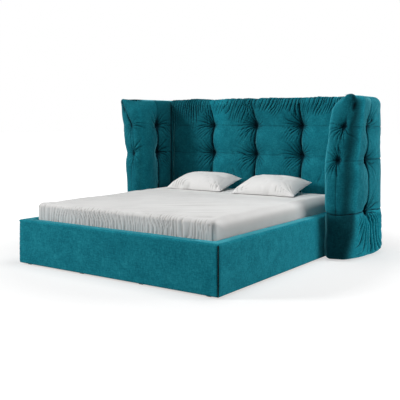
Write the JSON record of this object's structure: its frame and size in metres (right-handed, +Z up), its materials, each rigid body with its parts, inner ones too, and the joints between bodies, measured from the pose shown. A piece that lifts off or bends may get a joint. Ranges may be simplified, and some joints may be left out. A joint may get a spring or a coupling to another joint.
{
  "type": "ottoman bed",
  "caption": "Winged ottoman bed with tufted velvet headboard, padded rails, bedding, and a gas-lift slatted frame over a storage base.",
  "frame": {"origin": "on the floor under the middle of the bed's overall box", "axes": "+X across the bed towards its right side as seen from the foot, +Y towards the headboard, +Z up"},
  "size_m": [2.6666, 2.33, 1.42],
  "materials": {
    "velvet": "teal velvet",
    "sheet_cotton": "matt cotton",
    "mattress_ticking": "knitted ticking",
    "timber": "planed softwood",
    "slat_birch": "sealed birch ply",
    "floor_board": "dark faced board",
    "frame_steel": "black powder coat",
    "bright_steel": "zinc plated",
    "black_plastic": "matt",
    "felt_pad": "felt"
  },
  "bodies": {
    "base": {"foot_rail_frame": "timber", "side_rail_frame_left": "timber", "side_rail_frame_right": "timber", "foot_rail_cover": "velvet", "side_rail_cover_left": "velvet", "side_rail_cover_right": "velvet", "head_panel": "timber", "corner_brackets": "bright_steel", "corner_bolts": "bright_steel", "side_ledge_left": "timber", "side_ledge_right": "timber", "foot_ledge": "timber", "ledge_pads": "felt_pad", "floor_battens": "timber", "floor_panel_1": "floor_board", "floor_panel_2": "floor_board", "floor_panel_3": "floor_board", "headboard_board": "timber", "headboard_battens": "timber", "headboard_back_panel": "floor_board", "headboard_bolts": "bright_steel", "headboard_cushion": "velvet", "wing_core_left": "timber", "wing_core_right": "timber", "wing_cushion_left": "velvet", "wing_cushion_right": "velvet", "glides": "black_plastic", "base_plate_left": "frame_steel", "base_plate_right": "frame_steel", "base_studs_left": "bright_steel", "base_studs_right": "bright_steel", "base_plate_bolts": "bright_steel"},
    "lift": {"lift_side_tube_left": "frame_steel", "lift_side_tube_right": "frame_steel", "lift_foot_tube": "frame_steel", "lift_head_tube": "frame_steel", "lift_centre_tube": "frame_steel", "lift_cross_braces": "frame_steel", "tube_end_caps": "black_plastic", "slats_left": "slat_birch", "slats_right": "slat_birch", "slat_holders": "black_plastic", "top_plate_left": "frame_steel", "top_plate_right": "frame_steel", "lift_studs_left": "bright_steel", "lift_studs_right": "bright_steel", "top_plate_bolts": "bright_steel", "mattress": "mattress_ticking", "fitted_sheet": "sheet_cotton", "pillow_left": "sheet_cotton", "pillow_right": "sheet_cotton"},
    "front_link_left": {"front_link_left": "frame_steel"},
    "rear_link_left": {"rear_link_left": "frame_steel"},
    "strut_cylinder_left": {"strut_cylinder_left": "frame_steel"},
    "strut_rod_left": {"strut_rod_left": "bright_steel"},
    "front_link_right": {"front_link_right": "frame_steel"},
    "rear_link_right": {"rear_link_right": "frame_steel"},
    "strut_cylinder_right": {"strut_cylinder_right": "frame_steel"},
    "strut_rod_right": {"strut_rod_right": "bright_steel"}
  },
  "joints": [
    {"name": "lift_hinge", "type": "hinge", "parent": "base", "child": "front_link_left", "pos_m": [-0.891, 0.034, 0.062], "axis": [1, 0, 0], "range_deg": [0, 48]},
    {"name": "front_link_right_hinge", "type": "hinge", "parent": "base", "child": "front_link_right", "pos_m": [0.891, 0.034, 0.062], "axis": [1, 0, 0], "range_deg": [0, 48]},
    {"name": "platform_hinge", "type": "hinge", "parent": "front_link_left", "child": "lift", "pos_m": [-0.891, 0.489, 0.172], "axis": [1, 0, 0], "range_deg": [-83.5, 0]},
    {"name": "rear_link_left_hinge", "type": "hinge", "parent": "base", "child": "rear_link_left", "pos_m": [-0.891, 0.2587, 0.2347], "axis": [1, 0, 0], "range_deg": [0, 64.6]},
    {"name": "strut_left_hinge", "type": "hinge", "parent": "base", "child": "strut_cylinder_left", "pos_m": [-0.862, 0.462, 0.062], "axis": [1, 0, 0], "range_deg": [0, 57.7]},
    {"name": "strut_left_slide", "type": "slide", "parent": "strut_cylinder_left", "child": "strut_rod_left", "axis": [0, 0.7628, 0.6467], "range_m": [0, 0.1217]},
    {"name": "rear_link_right_hinge", "type": "hinge", "parent": "base", "child": "rear_link_right", "pos_m": [0.891, 0.2587, 0.2347], "axis": [1, 0, 0], "range_deg": [0, 64.6]},
    {"name": "strut_right_hinge", "type": "hinge", "parent": "base", "child": "strut_cylinder_right", "pos_m": [0.862, 0.462, 0.062], "axis": [1, 0, 0], "range_deg": [0, 57.7]},
    {"name": "strut_right_slide", "type": "slide", "parent": "strut_cylinder_right", "child": "strut_rod_right", "axis": [0, 0.7628, 0.6467], "range_m": [0, 0.1217]}
  ],
  "couplings": [
    {"joint": "front_link_right_hinge", "follows": "lift_hinge", "ratio": 1},
    {"joint": "platform_hinge", "follows": "lift_hinge", "ratio": -1.7292},
    {"joint": "rear_link_left_hinge", "follows": "lift_hinge", "ratio": 1.3454},
    {"joint": "strut_left_hinge", "follows": "lift_hinge", "ratio": 1.2016},
    {"joint": "strut_left_slide", "follows": "lift_hinge", "m_per_rad": 0.14519},
    {"joint": "rear_link_right_hinge", "follows": "lift_hinge", "ratio": 1.3454},
    {"joint": "strut_right_hinge", "follows": "lift_hinge", "ratio": 1.2016},
    {"joint": "strut_right_slide", "follows": "lift_hinge", "m_per_rad": 0.14519}
  ]
}
